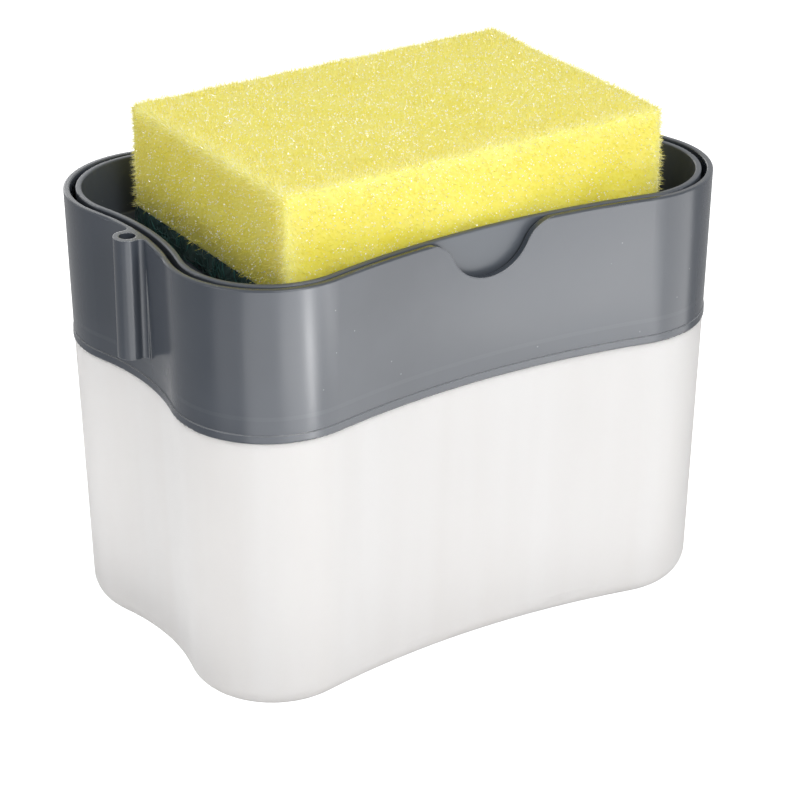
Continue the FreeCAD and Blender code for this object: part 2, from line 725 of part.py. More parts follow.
def make_outlet():
    # a disc let into the tray's floor, with a hole, crossed slots and a spigot in the tray
    body = new_body("soap_outlet", "%s - outlet_thickness - outlet_spigot_length" % tray_top)
    disc = "outlet_spigot_length"
    top = "(outlet_spigot_length + outlet_thickness)"
    turn(body, "Revolution", "disc", [
        ("outlet_hole_radius", "0"), ("outlet_spigot_radius", "0"), ("outlet_spigot_radius", disc),
        ("outlet_radius", disc), ("outlet_radius", top), ("outlet_hole_radius", top)])
    sizes = [("outlet_slot_length", "outlet_slot_width"), ("outlet_slot_width", "outlet_slot_length")]
    for name, (length, width) in zip(("long_slot", "cross_slot"), sizes):
        slot = rectangle(body, name + "_outline", top, length, width)
        extrude(body, "Pocket", name, slot, "outlet_slot_depth", upwards=False)
    return body


def make_scour_pad():
    body = new_body("scour_pad", tray_top, "sponge_shift")
    sheet_outline = rectangle(body, "pad_outline", "0", sponge_length, sponge_width)
    extrude(body, "Pad", "pad", sheet_outline, "scour_height", upwards=True)
    return body


def make_foam():
    body = new_body("sponge_foam", tray_top + " + scour_height", "sponge_shift")
    block = rectangle(body, "block_outline", "0", sponge_length, sponge_width)
    extrude(body, "Pad", "block", block, "foam_height", upwards=True)
    round_edges(body, "top_edge", edges_between(body, "foam_height", "foam_height"), "foam_round")
    return body


subparts = [
    make_tub(), make_collar(), make_gasket(), make_housing(), make_guide(), make_nut(),
    make_dip_tube(), make_ball("inlet_ball", inlet_seat), make_stem(), make_piston(), make_plug(),
    make_ball("outlet_ball", outlet_seat), make_spring(), make_tray(), make_outlet(),
    make_scour_pad(), make_foam()]
doc.recompute()

for item in doc.Objects:
    if "Invalid" in item.State or "Error" in item.State:
        raise RuntimeError("failed: " + item.Name)
for subpart in subparts:
    if subpart.Shape.isNull() or not subpart.Shape.isValid():
        raise RuntimeError("no valid shape: " + subpart.Label)

os.makedirs("parts", exist_ok=True)
for subpart in subparts:
    subpart.Shape.exportStep("parts/%s.step" % subpart.Label)
    print(subpart.Label, "%.1f mm3" % subpart.Shape.Volume)
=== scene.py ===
import bpy
import itertools
import numpy as np
from math import cos, pi, radians, sin
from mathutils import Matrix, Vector


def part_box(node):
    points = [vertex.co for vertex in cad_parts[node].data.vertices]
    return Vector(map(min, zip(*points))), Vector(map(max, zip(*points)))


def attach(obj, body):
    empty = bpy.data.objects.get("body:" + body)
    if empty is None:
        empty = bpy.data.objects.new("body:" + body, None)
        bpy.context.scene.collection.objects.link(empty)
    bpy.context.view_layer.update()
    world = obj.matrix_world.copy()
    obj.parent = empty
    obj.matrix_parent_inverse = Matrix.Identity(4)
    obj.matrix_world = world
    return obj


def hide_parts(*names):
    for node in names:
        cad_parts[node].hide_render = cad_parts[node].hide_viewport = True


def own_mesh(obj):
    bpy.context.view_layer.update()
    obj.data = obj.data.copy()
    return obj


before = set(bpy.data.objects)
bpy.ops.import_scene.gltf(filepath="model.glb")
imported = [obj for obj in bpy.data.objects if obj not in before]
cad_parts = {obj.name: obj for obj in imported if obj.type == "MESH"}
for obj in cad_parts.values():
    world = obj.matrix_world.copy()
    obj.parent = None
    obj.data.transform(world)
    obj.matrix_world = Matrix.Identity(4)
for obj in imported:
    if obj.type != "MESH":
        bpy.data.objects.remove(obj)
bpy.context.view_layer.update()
mm = 0.001


# small helpers: colours, nodes, meshes

def linear(hexColour):
    # sRGB hex to linear red, green, blue and alpha
    srgb = np.array([int(hexColour[i:i + 2], 16) / 255 for i in (1, 3, 5)])
    low, high = srgb / 12.92, ((srgb + 0.055) / 1.055) ** 2.4
    return (*np.where(srgb <= 0.04045, low, high).tolist(), 1.0)


def addNode(tree, kind, settings=None, links=None):
    # settings are sockets or properties of the node; links feed its sockets from other nodes
    node = tree.nodes.new(kind)
    for name, value in (settings or {}).items():
        if isinstance(name, int) or name in node.inputs:
            node.inputs[name].default_value = value
        else:
            setattr(node, name, value)
    for name, socket in (links or {}).items():
        tree.links.new(socket, node.inputs[name])
    return node


def newMaterial(name):
    material = bpy.data.materials.new(name)
    material.use_nodes = True
    tree = material.node_tree
    tree.nodes.clear()
    place = addNode(tree, "ShaderNodeTexCoord").outputs["Object"]
    return material, tree, place


def finishMaterial(tree, settings, links):
    shader = addNode(tree, "ShaderNodeBsdfPrincipled", settings, links)
    addNode(tree, "ShaderNodeOutputMaterial", None, {"Surface": shader.outputs[0]})


def perMetre(sizeMm):
    # texture scale whose features repeat about every so many millimetres
    return 1 / (sizeMm * mm)


def colourRamp(tree, factor, stops):
    # (position, hex colour) stops, evenly blended
    ramp = addNode(tree, "ShaderNodeValToRGB", None, {0: factor})
    elements = ramp.color_ramp.elements
    while len(elements) < len(stops):
        elements.new(1.0)
    for element, (position, hexColour) in zip(elements, stops):
        element.position = position
        element.color = linear(hexColour)
    return ramp.outputs["Color"]


def meshPiece(name, points, faces, material, body, smooth=True):
    mesh = bpy.data.meshes.new(name)
    mesh.from_pydata(points.tolist(), [], [list(map(int, face)) for face in faces])
    mesh.polygons.foreach_set("use_smooth", [smooth] * len(mesh.polygons))
    mesh.materials.append(material)
    mesh.update()
    piece = bpy.data.objects.new(name, mesh)
    bpy.context.scene.collection.objects.link(piece)
    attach(piece, body)
    return piece


# materials of the moulded pieces

def mouldedAbs(name, grey, cloudGrey, roughness):
    # Grey ABS from a polished mould: a soft gloss with a faint orange peel, slightly uneven in
    # colour, and a little dust. Its edges are painted paler as a highlight, and a faint paler line is
    # painted at the deck as the highlight of its sink line. The real grain is nearer 0.05 mm and the
    # dust specks finer, so both are drawn coarser to show.
    look = {"dustAndPaintedHighlight": "#b4b7ba", "cloudMm": 30, "peelMm": 1.6, "grainMm": 0.35, "grainShare": 0.25,
            "edgeMm": 0.36, "edgeStart": 0.96, "edgeFull": 0.8, "edgeHighlightPaint": 0.52,
            "lineHeightMm": 75.0, "lineHalfMm": 0.5, "sinkLineHighlightPaint": 0.016,
            "dustMm": 5, "dustStart": 0.04, "dustFull": 0.025, "dustPale": 0.22,
            "bump": 0.08, "bumpMm": 0.06, "glossSpread": 0.07, "ior": 1.5}
    material, tree, place = newMaterial(name)
    cloud = addNode(tree, "ShaderNodeTexNoise", {"Scale": perMetre(look["cloudMm"]), "Detail": 3},
                    {"Vector": place})
    shade = colourRamp(tree, cloud.outputs[0], [(0.35, grey), (0.7, cloudGrey)])
    # an edge is where the rounded normal leaves the face's own normal; there a paler colour is painted as a
    # highlight
    edge = addNode(tree, "ShaderNodeBevel", {"samples": 4, "Radius": look["edgeMm"] * mm})
    flat = addNode(tree, "ShaderNodeNewGeometry")
    facing = addNode(tree, "ShaderNodeVectorMath", {"operation": "DOT_PRODUCT"},
                     {0: edge.outputs[0], 1: flat.outputs["Normal"]})
    paintedEdgeHighlight = addNode(tree, "ShaderNodeMapRange", {"From Min": look["edgeStart"], "From Max": look["edgeFull"],
                                                "To Max": look["edgeHighlightPaint"]}, {0: facing.outputs["Value"]})
    height = addNode(tree, "ShaderNodeSeparateXYZ", None, {0: place})
    # a thin band at the deck's height is painted paler, as the highlight of the sink line there
    line = addNode(tree, "ShaderNodeMath", {"operation": "COMPARE", 1: look["lineHeightMm"] * mm,
                                            2: look["lineHalfMm"] * mm}, {0: height.outputs["Z"]})
    dust = addNode(tree, "ShaderNodeTexVoronoi", {"Scale": perMetre(look["dustMm"])}, {"Vector": place})
    specks = addNode(tree, "ShaderNodeMapRange", {"From Min": look["dustStart"], "From Max": look["dustFull"],
                                                  "To Max": look["dustPale"]}, {0: dust.outputs["Distance"]})
    # the paler colour mixes painted highlight, along the edges and at the sink line, with real dust specks
    faint = addNode(tree, "ShaderNodeMath", {"operation": "MULTIPLY_ADD", 1: look["sinkLineHighlightPaint"]},
                    {0: line.outputs[0], 2: paintedEdgeHighlight.outputs[0]})
    pale = addNode(tree, "ShaderNodeMath", {"operation": "MAXIMUM"},
                   {0: faint.outputs[0], 1: specks.outputs[0]})
    colour = addNode(tree, "ShaderNodeMix", {"data_type": "RGBA", 7: linear(look["dustAndPaintedHighlight"])},
                     {0: pale.outputs[0], 6: shade})
    peel = addNode(tree, "ShaderNodeTexNoise", {"Scale": perMetre(look["peelMm"]), "Detail": 2},
                   {"Vector": place})
    grain = addNode(tree, "ShaderNodeTexNoise", {"Scale": perMetre(look["grainMm"]), "Detail": 1},
                    {"Vector": place})
    both = addNode(tree, "ShaderNodeMath", {"operation": "MULTIPLY_ADD", 1: look["grainShare"]},
                   {0: grain.outputs[0], 2: peel.outputs[0]})
    bump = addNode(tree, "ShaderNodeBump", {"Strength": look["bump"], "Distance": look["bumpMm"] * mm},
                   {"Height": both.outputs[0], "Normal": edge.outputs[0]})
    gloss = addNode(tree, "ShaderNodeMapRange", {"From Min": 0.3, "From Max": 0.7, "To Min": roughness,
                                                 "To Max": roughness + look["glossSpread"]},
                    {0: cloud.outputs[0]})
    finishMaterial(tree, {"IOR": look["ior"]}, {"Base Color": colour.outputs[2],
                                                "Roughness": gloss.outputs[0], "Normal": bump.outputs[0]})
    return material


def frostedPolypropylene():
    # Natural polypropylene with a fine frosted surface: milky, warm white, soft-edged light with no
    # clear reflections, and faint upright flow marks of the moulding. The real frost is a few hundredths
    # of a millimetre, so it is drawn coarser to show.
    look = {"milk": "#f2edeb", "cloud": "#eee8e5", "flowMm": 14, "flowStretch": 0.08, "frostMm": 0.5,
            "bump": 0.12, "bumpMm": 0.05, "roughness": 0.5, "ior": 1.49, "scatterMm": 7}
    material, tree, place = newMaterial("frosted polypropylene")
    upright = addNode(tree, "ShaderNodeMapping", {"Scale": (1, 1, look["flowStretch"])}, {"Vector": place})
    flow = addNode(tree, "ShaderNodeTexNoise", {"Scale": perMetre(look["flowMm"]), "Detail": 2},
                   {"Vector": upright.outputs[0]})
    shade = colourRamp(tree, flow.outputs[0], [(0.35, look["cloud"]), (0.65, look["milk"])])
    frost = addNode(tree, "ShaderNodeTexNoise", {"Scale": perMetre(look["frostMm"]), "Detail": 2},
                    {"Vector": place})
    bump = addNode(tree, "ShaderNodeBump", {"Strength": look["bump"], "Distance": look["bumpMm"] * mm},
                   {"Height": frost.outputs[0]})
    finishMaterial(tree, {"Roughness": look["roughness"], "IOR": look["ior"], "Subsurface Weight": 1.0,
                          "Subsurface Radius": (1.0, 1.0, 1.0), "Subsurface Scale": look["scatterMm"] * mm},
                   {"Base Color": shade, "Normal": bump.outputs[0]})
    return material


def plainMoulding(name, hexColour, tintHex, roughness, settings=None, grainMm=0.8):
    # One material for the small pump pieces: even colour, a faint cloud, and a grain that is drawn
    # coarser than the real one to show.
    look = {"cloudMm": 12, "bump": 0.15, "bumpMm": 0.05}
    material, tree, place = newMaterial(name)
    cloud = addNode(tree, "ShaderNodeTexNoise", {"Scale": perMetre(look["cloudMm"]), "Detail": 3},
                    {"Vector": place})
    shade = colourRamp(tree, cloud.outputs[0], [(0.35, hexColour), (0.7, tintHex)])
    grain = addNode(tree, "ShaderNodeTexNoise", {"Scale": perMetre(grainMm), "Detail": 2},
                    {"Vector": place})
    bump = addNode(tree, "ShaderNodeBump", {"Strength": look["bump"], "Distance": look["bumpMm"] * mm},
                   {"Height": grain.outputs[0]})
    finishMaterial(tree, {"Roughness": roughness, **(settings or {})},
                   {"Base Color": shade, "Normal": bump.outputs[0]})
    return material


collarAbs = mouldedAbs("moulded grey ABS", "#383d45", "#40454d", 0.21)
trayAbs = mouldedAbs("moulded grey ABS, satin", "#42474e", "#4a4f56", 0.36)
frosted = frostedPolypropylene()
pumpWhite = plainMoulding("moulded polypropylene", "#e9e8e4", "#efeeea", 0.38)
softTube = plainMoulding("extruded polyethylene", "#dfe3e0", "#e8ebe8", 0.3,
                         {"Transmission Weight": 0.35, "IOR": 1.51})
sealRubber = plainMoulding("moulded nitrile rubber", "#2b2c2e", "#333437", 0.6, grainMm=0.4)
valveGlass = plainMoulding("ground soda glass", "#e6efe9", "#edf4f0", 0.12,
                           {"Transmission Weight": 0.9, "IOR": 1.52})
springSteel = plainMoulding("drawn stainless wire", "#a9aaab", "#b9babb", 0.28, {"Metallic": 1.0}, 0.3)
wears = {
    "collar": collarAbs, "press_tray": trayAbs, "reservoir_tub": frosted, "pump_housing": pumpWhite,
    "stem_guide": pumpWhite, "pump_nut": pumpWhite, "pump_stem": pumpWhite, "piston_plug": pumpWhite,
    "soap_outlet": pumpWhite, "dip_tube": softTube, "neck_gasket": sealRubber,
    "pump_piston": sealRubber, "inlet_ball": valveGlass, "outlet_ball": valveGlass}
for node, material in wears.items():
    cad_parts[node].material_slots[0].material = material
print("moulded pieces dressed")


# return spring: a coil drawn in place of the rigid node; the real spring shortens under the pressed plunger

def springPiece():
    # Tube along a helix: at turn angle t and angle a around the wire, the point is (o cos t, o sin t, h)
    # with o = coil radius + wire * cos a and h = foot + climb * t / last t + wire * sin a.
    size = {"turns": 6, "wire": 0.45 * mm, "seatGap": 0.1 * mm, "stepsPerTurn": 40, "around": 12}
    low, high = (np.array(corner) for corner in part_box("return_spring"))
    wire, around, rings = size["wire"], size["around"], size["turns"] * size["stepsPerTurn"] + 1
    share = np.linspace(0, 1, rings)[:, None]
    turn = 2 * pi * size["turns"] * share
    angle = 2 * pi * np.arange(around)[None] / around
    out = high[0] - wire + wire * np.cos(angle)
    height = low[2] + wire + (high[2] - low[2] - 2 * wire) * share + wire * np.sin(angle)
    points = np.stack([out * np.cos(turn), out * np.sin(turn), height], -1).reshape(-1, 3)
    ring = np.arange(around)
    ahead = np.roll(ring, -1)
    start = around * np.arange(rings - 1)[:, None]
    wall = np.stack([ring + start, ring + start + around, ahead + start + around, ahead + start], -1)
    ends = [ring, ring[::-1] + around * (rings - 1)]
    piece = meshPiece("return_coil", points, [*wall.reshape(-1, 4), *ends], springSteel, "head")
    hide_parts("return_spring")
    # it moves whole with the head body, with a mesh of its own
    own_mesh(piece)


springPiece()


# sponge: foam block on a scouring pad

def latticeShell(counts, skip=()):
    # Surface of a lattice of counts steps along x, y and z: on each of the six faces (u, v) run over
    # a grid and the third index is fixed. Shared edges become one point, so the shell is closed,
    # except at the faces in skip. Gives the lattice index of each point, and the quads.
    shape = np.array(counts) + 1
    quads = []
    for w, side in itertools.product(range(3), (0, 1)):
        if (w, side) in skip:
            continue
        u, v = (w + 1) % 3, (w + 2) % 3
        a, b = np.meshgrid(np.arange(counts[u]), np.arange(counts[v]), indexing="ij")
        corners = []
        for stepU, stepV in ((0, 0), (1, 0), (1, 1), (0, 1)):
            index = [None] * 3
            index[u], index[v], index[w] = a + stepU, b + stepV, np.full_like(a, side * counts[w])
            corners.append(np.ravel_multi_index(index, shape))
        face = np.stack(corners, -1).reshape(-1, 4)
        quads.append(face if side else face[:, ::-1])
    used, quads = np.unique(np.concatenate(quads), return_inverse=True)
    return np.stack(np.unravel_index(used, shape), -1), quads.reshape(-1, 4)


def roundedBlock(low, high, lattice, counts, radius, roundBottom):
    # Box p = low + (high - low) * index / counts, whose edges are rounded: q is p held inside the box
    # shrunk by the radius, and the surface is q + radius * (p - q) / |p - q|. Also gives the normals.
    flat = low + (high - low) * lattice / counts
    inner = np.array([radius, radius, radius if roundBottom else 0.0])
    core = np.clip(flat, low + inner, high - radius)
    away = flat - core
    tiny = 1e-9    # inside the open bottom a point is its own core, and faces down
    length = np.maximum(np.linalg.norm(away, axis=1, keepdims=True), tiny / 1000)
    normal = np.where(length > tiny, away / length, (0.0, 0.0, -1.0))
    return np.where(length > tiny, core + radius * normal, flat), normal


def cellDistances(points, size, random):
    # One seeded spot in each cube of the given size: the distances, in cubes, from each point to the
    # nearest and to the second nearest spot.
    period, far = 32, 9.0    # the spots repeat after so many cubes; no spot is further than far
    spots = random.random((period, period, period, 3))
    scaled = points / size
    cube = np.floor(scaled).astype(int)
    first = np.full(len(points), far)
    second = first.copy()
    for shift in itertools.product((-1, 0, 1), repeat=3):
        near = cube + shift
        spot = near + spots[tuple((near % period).T)]
        distance = np.linalg.norm(spot - scaled, axis=1)
        second = np.minimum(second, np.maximum(first, distance))
        first = np.minimum(first, distance)
    return first, second


def foamMaterial():
    # Open-cell polyurethane foam: soft, matt and a little translucent, with painted shade, deeper yellow,
    # down in the cell hollows, and painted light, paler, on the cell walls and towards the edges.
    look = {"deep": "#e0d134", "face": "#e9dd48", "pale": "#f2eb88", "cloudMm": 9, "cloudShare": 0.3,
            "grainMm": 0.7, "bump": 0.4, "bumpMm": 0.2, "roughness": 0.65, "scatter": 0.8, "scatterMm": 7,
            "scatterColour": (1.0, 0.9, 0.3), "sheen": 0.25}
    material, tree, place = newMaterial("cut polyurethane foam")
    # the strut attribute holds painted shade in the cell hollows and painted light on the cell walls and
    # edges
    depth = addNode(tree, "ShaderNodeAttribute", {"attribute_name": "strut"})
    cloud = addNode(tree, "ShaderNodeTexNoise", {"Scale": perMetre(look["cloudMm"]), "Detail": 4},
                    {"Vector": place})
    uneven = addNode(tree, "ShaderNodeMath", {"operation": "MULTIPLY_ADD", 1: look["cloudShare"]},
                     {0: cloud.outputs[0], 2: depth.outputs["Fac"]})
    shade = colourRamp(tree, uneven.outputs[0],
                       [(0.1, look["deep"]), (0.6, look["face"]), (1.0, look["pale"])])
    grain = addNode(tree, "ShaderNodeTexNoise", {"Scale": perMetre(look["grainMm"]), "Detail": 2},
                    {"Vector": place})
    bump = addNode(tree, "ShaderNodeBump", {"Strength": look["bump"], "Distance": look["bumpMm"] * mm},
                   {"Height": grain.outputs[0]})
    finishMaterial(tree, {"Roughness": look["roughness"], "Subsurface Weight": look["scatter"],
                          "Subsurface Radius": look["scatterColour"],
                          "Subsurface Scale": look["scatterMm"] * mm,
                          "Sheen Weight": look["sheen"], "Sheen Roughness": 0.5},
                   {"Base Color": shade, "Normal": bump.outputs[0]})
    return material


def strutMaterial():
    # The foam's cut cell struts, thin and paler than the block, and torn cell films, which lie flat
    # and are painted white as a glint. The films' gloss is lost at this size, so their IOR is raised to show
    # the glint.
    look = {"deep": "#e2d440", "face": "#ece263", "pale": "#f7f3b8", "paintedGlint": "#fffff8",
            "filmTint": (0.9, 0.96), "ior": 1.5, "filmIor": 2.4, "grainMm": 0.5, "smooth": 0.15,
            "rough": 0.35, "sheen": 0.2}
    material, tree, place = newMaterial("polyurethane cell struts and films")
    tint = addNode(tree, "ShaderNodeAttribute", {"attribute_name": "tint"}).outputs["Fac"]
    # the whitest stop, given to the films, is a painted glint
    shade = colourRamp(tree, tint, [(0.0, look["deep"]), (0.5, look["face"]), (0.88, look["pale"]),
                                    (0.95, look["paintedGlint"])])
    start, full = look["filmTint"]
    shine = addNode(tree, "ShaderNodeMapRange", {"From Min": start, "From Max": full, "To Min": look["ior"],
                                                 "To Max": look["filmIor"]}, {0: tint})
    grain = addNode(tree, "ShaderNodeTexNoise", {"Scale": perMetre(look["grainMm"]), "Detail": 1},
                    {"Vector": place})
    gloss = addNode(tree, "ShaderNodeMapRange", {"To Min": look["smooth"], "To Max": look["rough"]},
                    {0: grain.outputs[0]})
    finishMaterial(tree, {"Sheen Weight": look["sheen"]}, {"Base Color": shade, "IOR": shine.outputs[0],
                                                           "Roughness": gloss.outputs[0]})
    return material


def slivers(foot, direction, length, width, random):
    # Thin closed pyramids: three points in a ring around the foot, square to the direction, and the
    # tip at foot + length * direction.
    side = np.cross(direction, random.normal(size=direction.shape))
    side /= np.linalg.norm(side, axis=1, keepdims=True)
    up = np.cross(direction, side)
    turns = np.arange(3) * 2 * pi / 3
    ring = np.cos(turns)[None, :, None] * side[:, None] + np.sin(turns)[None, :, None] * up[:, None]
    tip = foot + length[:, None] * direction
    points = np.concatenate([foot[:, None] + width[:, None, None] * ring, tip[:, None]], axis=1)
    corners = np.array([(0, 1, 3), (1, 2, 3), (2, 0, 3), (2, 1, 0)])
    faces = corners[None] + 4 * np.arange(len(foot))[:, None, None]
    return points.reshape(-1, 3), faces.reshape(-1, 3)


def skinPlaces(points, normal, quads, edgeShare, kind, random):
    # point, foot, direction, length and width of slivers at random places of a skin: on a quad the
    # foot is p0 + s * (p1 - p0) + t * (p3 - p0), sunk below the skin. More of them stand near edges.
    count = kind["count"]
    chance = 1 + kind["edgeShare"] * edgeShare[quads[:, 0]]
    a, b, _, d = quads[random.choice(len(quads), count, p=chance / chance.sum())].T
    s, t = random.random((2, count, 1))
    outward = normal[a]
    foot = points[a] + s * (points[b] - points[a]) + t * (points[d] - points[a]) - kind["sink"] * outward
    direction = outward * random.uniform(*kind["lean"], (count, 1))
    direction += kind["spread"] * random.normal(size=foot.shape)
    direction /= np.linalg.norm(direction, axis=1, keepdims=True)
    return a, foot, direction, random.uniform(*kind["length"], count), random.uniform(*kind["width"], count)


def paint(piece, name, values):
    # one number for each point, for the material to read
    layer = piece.data.attributes.new(name, "FLOAT", "POINT")
    layer.data.foreach_set("value", values.astype(np.float32))


def foamPiece():
    size = {"step": 0.4 * mm, "left": 0.6 * mm, "right": 0.6 * mm, "round": 1.6 * mm, "cell": 1.0 * mm,
            "cellWall": 1.6, "pit": 0.1 * mm, "jitter": 0.05 * mm, "wave": 0.2 * mm,
            "waveLength": 17 * mm, "waveTilt": (0.7, 0.8), "paleEdge": 2.6 * mm, "seed": 11}
    struts = {"count": 48000, "length": (0.8 * mm, 2.5 * mm), "width": (0.05 * mm, 0.1 * mm),
              "sink": 0.5 * mm, "lean": (0.25, 1.6), "spread": 0.6, "edgeShare": 6.0, "seed": 23}
    films = {"count": 12000, "length": (0.25 * mm, 0.5 * mm), "width": (0.1 * mm, 0.18 * mm),
             "sink": -0.05 * mm, "lean": (0.0, 0.5), "spread": 0.6, "edgeShare": 0.0}
    # how pale each point is: painted shade in the block's pits and painted light on its walls and edges, its
    # hidden bottom, the struts
    pale = {"pit": 0.35, "wall": 0.2, "edge": 0.4, "bottom": 0.5, "strut": 0.7, "strutEdgePaintedLight": 0.5,
            "most": 0.88}
    random = np.random.default_rng(size["seed"])
    low, high = (np.array(corner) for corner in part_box("sponge_foam"))
    low[0] += size["left"]
    high[0] += size["right"]
    counts = np.round((high - low) / size["step"]).astype(int)
    lattice, quads = latticeShell(counts, skip=[(2, 0)])
    block, normal = roundedBlock(low, high, lattice, counts, size["round"], False)
    # the open bottom, glued to the pad, is closed by a fan
    i, j, k = lattice.T
    edge = np.flatnonzero(k == 0)
    order = np.argsort(np.arctan2(j[edge] - counts[1] / 2, i[edge] - counts[0] / 2))
    ring = edge[order]
    fan = np.stack([np.full(len(ring), len(block)), np.roll(ring, -1), ring], -1)
    # surface = block + normal * (slow wave - pits inside the cells + jitter)
    phase = 2 * pi * block / size["waveLength"]
    wave = np.sin(phase[:, 0] + np.sin(phase[:, 1])) * np.sin(phase[:, 1:] @ size["waveTilt"])
    first, second = cellDistances(block, size["cell"], random)
    hollow = np.clip((second - first) * size["cellWall"], 0, 1)
    rise = size["wave"] * wave - size["pit"] * hollow + size["jitter"] * random.normal(size=len(block))
    rise = np.where(k > 0, rise, 0.0)
    points = block + normal * rise[:, None]
    middle = (low + high) / 2
    middle[2] = low[2]
    faces = quads.tolist() + fan.tolist()
    piece = meshPiece("foam_block", np.vstack([points, middle]), faces, foamMaterial(), "sponge")
    # paler towards the edges, where light comes through: the second nearest of the side and top faces
    gaps = np.sort(np.column_stack([block[:, :2] - low[:2], high - block]), axis=1)
    edgeShare = np.exp(-gaps[:, 1] / size["paleEdge"])
    # painted shade in the pits, painted light on the cell walls and towards the edges
    paintedShadeAndLight = pale["pit"] + pale["wall"] * (1 - hollow) + pale["edge"] * edgeShare
    paint(piece, "strut", np.append(paintedShadeAndLight, pale["bottom"]))
    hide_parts("sponge_foam")

    # struts and films stand on random places of the block's skin, and lean any way outwards
    random = np.random.default_rng(struts["seed"])
    material = strutMaterial()
    for name, kind, paintedGlint in (("foam_struts", struts, 0), ("foam_films", films, 1)):
        chosen, foot, direction, length, width = skinPlaces(points, normal, quads, edgeShare, kind, random)
        tips, tipFaces = slivers(foot, direction, length, width, random)
        tips[:, 2] = np.maximum(tips[:, 2], low[2] - kind["sink"])
        fuzz = meshPiece(name, tips, tipFaces.tolist(), material, "sponge", smooth=False)
        # struts differ at random, and near the block's edges they are painted paler still, as light coming
        # through
        tint = pale["strut"] * random.random(kind["count"]) + pale["strutEdgePaintedLight"] * edgeShare[chosen]
        # the films take the whitest stop: a painted glint
        tint = np.maximum(np.clip(tint, 0, pale["most"]), paintedGlint)
        paint(fuzz, "tint", np.repeat(tint, 4))    # four points to a sliver
    print("foam:", len(points), "points,", struts["count"], "struts,", films["count"], "films")


def fibreMaterial():
    # Non-woven nylon scouring web: dark green fibres bound with resin, faintly glossy. The real grit is
    # about 0.1 mm, so it is drawn coarser to show.
    look = {"deep": "#0a2d29", "face": "#12433e", "pale": "#205b55", "gritMm": 0.4, "bump": 0.5,
            "bumpMm": 0.1, "roughness": 0.55, "sheen": 0.1}
    material, tree, place = newMaterial("resin-bound nylon fibre")
    # tint: painted shade, darker in the pad's pits than on its cell walls, and random on the fibres
    tint = addNode(tree, "ShaderNodeAttribute", {"attribute_name": "tint"})
    shade = colourRamp(tree, tint.outputs["Fac"],
                       [(0.0, look["deep"]), (0.6, look["face"]), (1.0, look["pale"])])
    grit = addNode(tree, "ShaderNodeTexNoise", {"Scale": perMetre(look["gritMm"]), "Detail": 2},
                   {"Vector": place})
    bump = addNode(tree, "ShaderNodeBump", {"Strength": look["bump"], "Distance": look["bumpMm"] * mm},
                   {"Height": grit.outputs[0]})
    finishMaterial(tree, {"Roughness": look["roughness"], "Sheen Weight": look["sheen"]},
                   {"Base Color": shade, "Normal": bump.outputs[0]})
    return material


